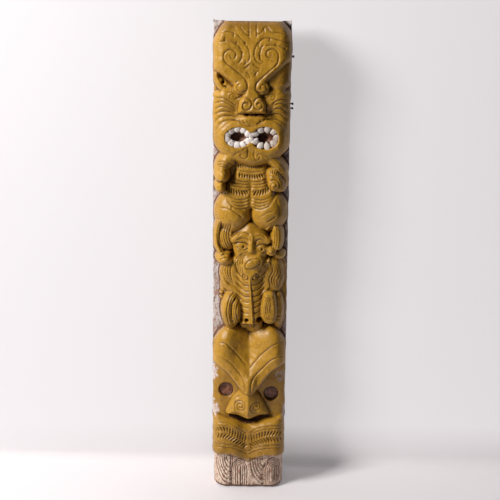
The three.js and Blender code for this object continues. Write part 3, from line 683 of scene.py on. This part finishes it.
# dirt and painted shade in the grooves; painted shade in the mouth's slit and openings, in the seam under the band
# above the block and along the underside
grime = held((blurred(wood, 2.0) - wood) / 2.2)
raise_to(grime, slit, 0.86 * slit_hollow)
here, hx, _ = window_round((-70, 940), (70, 996))
raise_to(grime, here, hollow[here] * np.where(hx < 0, 0.2, 0.55))
raise_to(grime, foot_part, np.where(below > 0, 0.85 * held(1 - below / 5), 0))
raise_to(grime, foot_part, held((11 - bz) / 6))

# painted shade: the paint is darker in deep places, by the lower eyes, under a brow, on the small figure's right
# shoulder and at the crown
deep = held((blurred(wood, 7.0) - wood) / 12)
eye_planes = held((height - 195) / 12) * held((362 - height) / 12)
deep = np.maximum(deep, 0.34 * held((95 - wood) / 8) * eye_planes)
here, hx, hz = window_round((38, 1082), (112, 1150))
under_brow = held(1.4 - np.hypot((hx - 74) / 38, (hz - 1114) / 22))
raise_to(deep, here, 0.75 * under_brow * (wood[here] < 109))
here, hx, hz = window_round((36, 545), (98, 655))
raise_to(deep, here, 0.4 * held(1.5 - 1.5 * np.hypot((hx - 72) / 30, (hz - 604) / 52)))
deep = np.maximum(deep, 0.75 * held((height - 1224) / 16))

# hewing marks and the slow unevenness of hand work
bare = 1 - paint
wood += unevenness(3.5) * (0.36 + 0.4 * bare) + unevenness(1.2) * (0.13 + 0.22 * bare)
wood = blurred(wood, 0.4) if gouge_step < 1.2 else wood


def to_mesh(shape, name):
    """A modelled shape as a mesh."""
    mesh = bpy.data.meshes.new(name)
    shape.to_mesh(mesh)
    shape.free()
    return mesh


def to_piece(mesh, name):
    """An object in the scene that carries the mesh."""
    piece = bpy.data.objects.new(name, mesh)
    bpy.context.scene.collection.objects.link(piece)
    return piece


def spots_of(mesh):
    """The places of all points of a mesh."""
    places = np.zeros(3 * len(mesh.vertices))
    mesh.vertices.foreach_get("co", places)
    return places.reshape(-1, 3)


# the sheet becomes the log: its rim is drawn back in steps and closed behind
sheet = bmesh.new()
bmesh.ops.create_grid(sheet, x_segments=len(across) - 1, y_segments=len(along) - 1, size=1)
border = [e for e in sheet.edges if e.is_boundary]
way_back = np.array([0, 0.05, 0.10, 0.15, 0.21, 0.28, 0.36, 0.60, 1.0])
for _ in way_back[1:]:
    grown = bmesh.ops.extrude_edge_only(sheet, edges=border)
    border = [g for g in grown["geom"] if isinstance(g, bmesh.types.BMEdge) and g.is_boundary]
bmesh.ops.contextual_create(sheet, geom=border)
bmesh.ops.recalc_face_normals(sheet, faces=sheet.faces)
full_mesh = to_mesh(sheet, "carved_post_figures")
spots = spots_of(full_mesh)
col = np.rint((spots[:, 0] + 1) / 2 * (len(across) - 1)).astype(int)
row = np.rint((spots[:, 1] + 1) / 2 * (len(along) - 1)).astype(int)
front_count = len(across) * len(along)
ring_size = 2 * (len(across) + len(along)) - 4
ring = np.repeat(np.arange(len(way_back)), [front_count] + [ring_size] * (len(way_back) - 1))
share_back = way_back[ring]
front_y = back_y - wood[row, col] * MM

# its outline: a narrower block, a fuller brow, a wandering and chipped edge, a sawn top
x, z, sideways = across[col], along[row], across[col] / half_width
narrow = np.where(z < block_top, 0.960, 0.996)
bulge = 2.2 * np.exp(-((z - 1186) / 46) ** 2) * held(sideways) ** 2
wander = np.interp(along, np.linspace(0, post_height, 90), chance.normal(size=90) * 0.55)[row]
wander *= held(np.abs(sideways)) ** 6 * np.sign(x)
chipped = np.interp(z, (1052, 1060, 1068, 1074, 1083, 1090, 1100, 1108), (0, 3, 1, 3.4, 1.2, 3, 1, 0))
chipped *= held(-sideways) ** 6
sawn = 6.0 * share_back * (z > post_height - 0.5)
placed = np.column_stack([(x * narrow + bulge + chipped + wander) * MM,
                          front_y + (back_y - front_y) * share_back, (z - sawn) * MM])
full_mesh.vertices.foreach_set("co", placed.ravel())
full_mesh.update()
post = to_piece(full_mesh, "carved_post_figures")
thin = post.modifiers.new("fewer", "DECIMATE")
most_triangles = 190000
thin.ratio = min(1.0, most_triangles / (2 * front_count))
post_mesh = bpy.data.meshes.new_from_object(post.evaluated_get(bpy.context.evaluated_depsgraph_get()))
post.modifiers.clear()
post.data = post_mesh
post_mesh.name = "carved_post_figures"
bpy.data.meshes.remove(full_mesh)
post_mesh.shade_smooth()
corners = bmesh.new()
corners.from_mesh(post_mesh)
for e in corners.edges:
    at_back = all(v.co.y > back_y - 0.0005 for v in e.verts)
    at_end = all(v.co.z > post_high.z - 0.008 or v.co.z < 0.0002 for v in e.verts)
    if (at_back or at_end) and len(e.link_faces) == 2 and e.calc_face_angle() > 0.9:
        e.smooth = False
corners.to_mesh(post_mesh)
corners.free()

spots = spots_of(post_mesh)


def read_off(field):
    """The field's value under each point of the finished mesh."""
    c = np.clip((spots[:, 0] / MM + half_width) / (2 * half_width) * (len(across) - 1), 0, len(across) - 1.001)
    r = np.clip(spots[:, 2] / MM / post_height * (len(along) - 1), 0, len(along) - 1.001)
    ci, ri = c.astype(int), r.astype(int)
    cf, rf = c - ci, r - ri
    top = field[ri, ci] * (1 - cf) + field[ri, ci + 1] * cf
    low = field[ri + 1, ci] * (1 - cf) + field[ri + 1, ci + 1] * cf
    return top * (1 - rf) + low * rf


x, y, z = spots.T / MM
on_rim = (np.abs(x) > half_width - 9) | (z > post_height - 8) | (z < 2)
behind = np.where(on_rim, y - (back_y / MM - read_off(wood)), 0)
at_top = (z > post_height - 7) & (behind > 1.5)
for name, values in (("paint", read_off(paint)), ("grime", read_off(grime)), ("wear", read_off(wear)),
                     ("hollow", read_off(hollow)), ("deep", read_off(deep)), ("behind", behind * MM),
                     ("top", at_top)):
    post_mesh.attributes.new(name, "FLOAT", "POINT").data.foreach_set("value", values.astype(np.float32))


def new_look(name):
    """A fresh material, with its nodes, its links and its surface."""
    look = bpy.data.materials.new(name)
    look.use_nodes = True
    tree = look.node_tree
    return look, tree.nodes, tree.links, tree.nodes["Principled BSDF"]


def plug(value, socket):
    """Puts a reading or a plain value into a socket."""
    if isinstance(value, bpy.types.NodeSocket):
        links.new(value, socket)
    else:
        socket.default_value = value


def reading(name):
    """One of the values kept at the points of the mesh."""
    node = nodes.new("ShaderNodeAttribute")
    node.attribute_name = name
    return node.outputs["Fac"]


def place(axis):
    """How far along an axis of the piece, in metres."""
    where = nodes.new("ShaderNodeTexCoord")
    axes = nodes.new("ShaderNodeSeparateXYZ")
    links.new(where.outputs["Object"], axes.inputs[0])
    return axes.outputs[axis]


def noise(scale, detail=4, stretch=(1, 1, 1)):
    """Cloudy noise in the piece itself."""
    where = nodes.new("ShaderNodeTexCoord")
    turned = nodes.new("ShaderNodeMapping")
    turned.inputs["Scale"].default_value = stretch
    links.new(where.outputs["Object"], turned.inputs["Vector"])
    cloud = nodes.new("ShaderNodeTexNoise")
    cloud.inputs["Scale"].default_value = scale
    cloud.inputs["Detail"].default_value = detail
    links.new(turned.outputs["Vector"], cloud.inputs["Vector"])
    return cloud.outputs["Fac"]


def ramp(value, low, high):
    """0 at the low reading and 1 at the high one."""
    node = nodes.new("ShaderNodeMapRange")
    node.inputs["From Min"].default_value = low
    node.inputs["From Max"].default_value = high
    links.new(value, node.inputs["Value"])
    return node.outputs["Result"]


def mixed(mask, first, second):
    """Two colours, the second where the mask is 1."""
    node = nodes.new("ShaderNodeMix")
    node.data_type = "RGBA"
    for number, value in ((0, mask), (6, first), (7, second)):
        plug(value, node.inputs[number])
    return node.outputs[2]


def over(value, low, high, first, second):
    """Two colours, the second where a reading has risen past a threshold."""
    return mixed(ramp(value, low, high), first, second)


def product(first, second, added=0.0):
    """Two readings or values multiplied, and a third one added."""
    node = nodes.new("ShaderNodeMath")
    node.operation = "MULTIPLY_ADD"
    for socket, value in zip(node.inputs, (first, second, added)):
        plug(value, socket)
    return node.outputs[0]


def bump(height, strength, distance, under=None):
    """Fine unevenness of a surface, its distance in metres."""
    node = nodes.new("ShaderNodeBump")
    node.inputs["Strength"].default_value = strength
    node.inputs["Distance"].default_value = distance
    links.new(height, node.inputs["Height"])
    if under:
        links.new(under, node.inputs["Normal"])
    return node.outputs["Normal"]


wood_look, nodes, links, surface = new_look("painted_wood")
near_front = ramp(reading("behind"), 0.006, 0.002)
front_grime_and_shade = product(reading("grime"), near_front)
way_in = product(noise(34, 6, (1, 1, 0.5)), 0.05, reading("behind"))
painted = product(reading("paint"), ramp(way_in, 0.046, 0.043))

# ochre oil paint: mottled, darkened by dirt and painted shade in the grooves and by painted shade in hollows and
# towards the foot, dull and worn towards the foot
ochre = over(noise(9), 0.35, 0.65, (0.395, 0.20, 0.014, 1), (0.465, 0.245, 0.022, 1))
ochre = over(noise(60, 6), 0.55, 0.75, ochre, (0.33, 0.16, 0.011, 1))
# dirt and painted shade: the grooves of the ochre go dark brown
ochre = over(product(front_grime_and_shade, ramp(noise(40, 4), 0.1, 0.6)), 0.1, 0.75, ochre, (0.075, 0.030, 0.006, 1))
# painted shade: deep places, the lower eyes, under a brow and the crown turn dark brown
ochre = mixed(product(product(ramp(reading("deep"), 0.02, 0.8), near_front), 0.6), ochre, (0.14, 0.058, 0.006, 1))
ochre = over(noise(24, 6), 0.5, 0.72, ochre, mixed(0.5, ochre, (0.25, 0.13, 0.012, 1)))
# painted shade: the ochre darkens towards the foot, where the lower face turns downward
ochre = mixed(product(ramp(place("Z"), 0.235, 0.10), 0.42), ochre, (0.17, 0.078, 0.005, 1))
ochre = over(noise(210, 5), 0.56, 0.70, ochre, mixed(0.45, ochre, (0.13, 0.055, 0.004, 1)))
ochre = over(noise(330, 3), 0.60, 0.72, ochre, mixed(0.35, ochre, (0.80, 0.56, 0.22, 1)))
worn = product(reading("wear"), ramp(noise(420, 3, (1, 1, 0.5)), 0.42, 0.62))
lost = over(noise(200, 4), 0.4, 0.6, (0.52, 0.42, 0.34, 1), (0.30, 0.18, 0.12, 1))
ochre = over(worn, 0.2, 0.4, ochre, lost)

# pale ground: whitish with red-brown flecks, browner at the foot, weathered wood behind
high_pale = over(noise(30, 5, (1, 1, 0.3)), 0.3, 0.7, (0.66, 0.61, 0.60, 1), (0.52, 0.44, 0.41, 1))
low_pale = over(noise(40, 5, (1, 1, 0.3)), 0.3, 0.7, (0.72, 0.59, 0.48, 1), (0.52, 0.39, 0.30, 1))
pale = mixed(ramp(place("Z"), 0.35, 0.12), high_pale, low_pale)
flecks = over(noise(260, 4, (1, 1, 0.45)), 0.54, 0.66, pale, (0.30, 0.15, 0.10, 1))
red = over(noise(130, 6, (1, 1, 0.4)), 0.54, 0.66, flecks, (0.36, 0.20, 0.14, 1))
pale = mixed(ramp(place("Z"), 0.95, 0.55), flecks, red)
spotted = over(noise(190, 5), 0.55, 0.68, pale, (0.32, 0.20, 0.13, 1))
pale = mixed(ramp(place("Z"), 0.16, 0.10), pale, spotted)
# dirt and painted shade darken the bare ground in its grooves, in the seam above the block and along the underside
pale = over(front_grime_and_shade, 0.05, 0.8, pale, (0.13, 0.055, 0.03, 1))
old_side = over(noise(50, 5, (1, 1, 0.12)), 0.35, 0.7, (0.30, 0.25, 0.17, 1), (0.16, 0.125, 0.085, 1))
pale = mixed(ramp(way_in, 0.045, 0.052), pale, old_side)

both = mixed(painted, pale, ochre)
both = mixed(reading("top"), both, (0.09, 0.07, 0.05, 1))
bare = over(noise(120, 5), 0.4, 0.65, (0.13, 0.045, 0.022, 1), (0.26, 0.11, 0.06, 1))
# painted shade: the bare wood goes nearly black deep in the mouth's slit and openings and in its deepest grooves
bare = over(reading("grime"), 0.5, 0.95, bare, (0.022, 0.010, 0.005, 1))
plug(mixed(reading("hollow"), both, bare), surface.inputs["Base Color"])
dull, painted_gain, blotches = 0.70, -0.44, 0.30
plug(product(noise(70, 6), blotches, product(painted, painted_gain, dull)), surface.inputs["Roughness"])
plug(0.4, surface.inputs["Specular IOR Level"])
grain = bump(noise(180, 6, (1, 1, 0.35)), 0.5, 0.0014)
plug(bump(noise(55, 5), 0.4, 0.004, grain), surface.inputs["Normal"])
post_mesh.materials.clear()
post_mesh.materials.append(wood_look)
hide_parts("carved_post")
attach(post, "root")

# The shells round the mouth: small thick pieces of white shell, each ground roughly
# to an oval, set on edge in the trench of the lips and nearly touching.
shell_look, nodes, links, surface = new_look("shell")
white = over(noise(90, 5), 0.35, 0.7, (0.84, 0.79, 0.77, 1), (0.62, 0.55, 0.51, 1))
# painted shade: the shells of the right lobe, on the side away from the light, are greyer
white = mixed(ramp(place("X"), 0.0, 0.06), white, (0.44, 0.37, 0.31, 1))
stained = over(noise(150, 4), 0.58, 0.7, white, (0.30, 0.15, 0.10, 1))
# painted shade where each shell sits down in the trench
plug(mixed(reading("shade_in_trench"), stained, (0.10, 0.05, 0.03, 1)), surface.inputs["Base Color"])
plug(0.5, surface.inputs["Roughness"])
plug(bump(noise(240, 5), 0.4, 0.0008), surface.inputs["Normal"])
# for each ring: its middle, a shell's half length and half width, how far it is set out and aside
rings = {"left": (-0.035, 0.968, 0.0092, 0.0094, 0.0030, 0.002), "right": (0.035, 0.967, 0.0104, 0.0086, 0.0024, 0),
         "middle": (0.004, 0.967, 0.0068, 0.0074, 0, 0.001)}
for name in sorted(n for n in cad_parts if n.startswith("mouth_shell")):
    low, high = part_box(name)
    middle = (low + high) / 2
    centre_x, centre_z, half_long, half_wide, outwards, aside = rings[name.split("_")[2]]
    outward = math.atan2(middle.z - centre_z, middle.x - centre_x)
    shell = bmesh.new()
    bmesh.ops.create_icosphere(shell, subdivisions=3, radius=1)
    sway = chance.uniform(0, 6.3, 3)
    size = chance.uniform(0.9, 1.12, 2)
    for v in shell.verts:
        x, y, z = v.co
        lump = 1 + 0.10 * math.sin(3 * x + sway[0]) * math.cos(4 * z + sway[1])
        lump += 0.07 * math.sin(6 * z + 3 * y + sway[2])
        flat = abs(y) ** 0.45 * (1 if y > 0 else -1) * 0.85
        length = half_long * size[0] * x * lump
        width = half_wide * size[1] * z * lump
        turned_x = (length + outwards) * math.cos(outward) - width * math.sin(outward)
        turned_z = (length + outwards) * math.sin(outward) + width * math.cos(outward)
        depth = flat * (high.y - low.y) / 2 * 1.05 - 0.16 * length
        v.co = middle + Vector((aside + turned_x, depth, turned_z))
    shell_mesh = to_mesh(shell, name + "_look")
    shell_mesh.shade_smooth()
    # painted shade: each shell darkens towards its back, where it sits down in the trench
    shade_in_trench = [min(1, max(0, (v.co.y - middle.y) / 0.004)) for v in shell_mesh.vertices]
    shell_mesh.attributes.new("shade_in_trench", "FLOAT", "POINT").data.foreach_set("value", shade_in_trench)
    shell_mesh.materials.append(shell_look)
    piece = to_piece(shell_mesh, name + "_look")
    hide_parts(name)
    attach(piece, "root")

# The old nails in the right edge: iron, rusted through, a thin shank driven in and
# a small beaten head, each bent a little.
rust_look, nodes, links, surface = new_look("rusted_iron")
rust = over(noise(900, 5), 0.4, 0.62, (0.060, 0.026, 0.014, 1), (0.20, 0.075, 0.028, 1))
plug(rust, surface.inputs["Base Color"])
plug(0.85, surface.inputs["Roughness"])
plug(bump(noise(1400, 5), 1.0, 0.0006), surface.inputs["Normal"])
for name in sorted(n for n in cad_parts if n.startswith("edge_nail")):
    low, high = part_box(name)
    middle = (low + high) / 2
    reach_out = high.x - low.x
    head_radius = (high.z - low.z) / 2
    nail = bmesh.new()
    bmesh.ops.create_cone(nail, cap_ends=True, segments=16, radius1=0.45 * head_radius, radius2=0.5 * head_radius,
                          depth=reach_out)
    # the head is drawn out of the shank's end: first its underside, then its crown
    for lift, spread in ((0.06, 1.9), (0.22, 0.9)):
        tip = max(nail.faces, key=lambda f: f.calc_center_median().z)
        drawn = bmesh.ops.extrude_face_region(nail, geom=[tip])
        for v in [g for g in drawn["geom"] if isinstance(g, bmesh.types.BMVert)]:
            v.co.z += lift * reach_out
            v.co.xy *= spread
        bmesh.ops.delete(nail, geom=[tip], context="FACES_ONLY")
    rims = [e for e in nail.edges if len(e.link_faces) == 2 and e.calc_face_angle() > 0.6]
    bmesh.ops.bevel(nail, geom=rims, offset=0.08 * head_radius, segments=2, profile=0.5, affect="EDGES", material=-1)
    bmesh.ops.recalc_face_normals(nail, faces=nail.faces)
    sway = chance.uniform(0, 6.3, 2)
    for v in nail.verts:
        x, y, z = v.co
        lump = 1 + 0.09 * math.sin(5 * math.atan2(y, x) + sway[0]) + 0.05 * math.sin(3000 * z + sway[1])
        bend = 0.12 * max(0, z)
        v.co = middle + Vector((z - 0.11 * reach_out, y * lump + bend, x * lump - bend))
    nail_mesh = to_mesh(nail, name + "_look")
    nail_mesh.shade_smooth()
    nail_mesh.materials.append(rust_look)
    piece = to_piece(nail_mesh, name + "_look")
    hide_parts(name)
    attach(piece, "root")

# Floor and wall of the photographer's room: one plain pale sweep, the floor and more so the wall glowing a little by
# themselves, painted light that keeps the shadow on the wall pale and soft.
plain, nodes, links, surface = new_look("plain_room")
up_wall = ramp(place("Z"), 0.0, 0.12)
plug(mixed(up_wall, (0.68, 0.655, 0.68, 1), (0.36, 0.355, 0.375, 1)), surface.inputs["Base Color"])
plug(0.9, surface.inputs["Roughness"])
# painted light: the sweep glows, weakly on the floor and more on the wall
plug((1.0, 0.955, 0.965, 1), surface.inputs["Emission Color"])
plug(product(up_wall, 0.38, 0.12), surface.inputs["Emission Strength"])
room = bmesh.new()
bmesh.ops.create_grid(room, x_segments=1, y_segments=1, size=1.3)
for v in room.verts:
    v.co.z = -0.0005
edge = [e for e in room.edges if all(v.co.y > 0 for v in e.verts)]
for v in edge[0].verts:
    v.co.y = 0.11
up = bmesh.ops.extrude_edge_only(room, edges=edge)
for v in [g for g in up["geom"] if isinstance(g, bmesh.types.BMVert)]:
    v.co.z += 2.4
bmesh.ops.bevel(room, geom=edge, offset=0.03, segments=8, profile=0.5, affect="EDGES", material=-1)
room_mesh = to_mesh(room, "room")
room_mesh.materials.append(plain)
room_piece = to_piece(room_mesh, "room")

# Light: one large soft source high on the left, and the pale room round it
key = bpy.data.lights.new("key", "AREA")
key.shape = "RECTANGLE"
key.size = 0.9
key.size_y = 1.2
key.energy = 158
key.color = (1.0, 0.97, 0.93)
key_piece = to_piece(key, "key")
key_piece.location = (-2.35, -1.55, 2.45)
key_piece.rotation_euler = (Vector((0, 0, 0.75)) - key_piece.location).to_track_quat("-Z", "Y").to_euler()
world = bpy.data.worlds.new("pale_room")
world.use_nodes = True
world.node_tree.nodes["Background"].inputs["Color"].default_value = (0.95, 0.95, 1.0, 1)
world.node_tree.nodes["Background"].inputs["Strength"].default_value = 0.03
bpy.context.scene.view_settings.view_transform = "Standard"
bpy.context.scene.world = world

# The camera, a little above the top of the post and close to straight on
photo_lens = bpy.data.cameras.new("photo_view")
photo_lens.sensor_width = 36
photo_lens.lens = 78.96
camera = to_piece(photo_lens, "photo_view")
camera.matrix_world = Matrix((
    (0.9998429, -0.0132289, 0.0117972, 0.03298),
    (0.0149692, 0.2737776, -0.9616765, -2.74768),
    (0.0094921, 0.9617020, 0.2739326, 1.44585),
    (0, 0, 0, 1),
))
bpy.context.scene.camera = camera
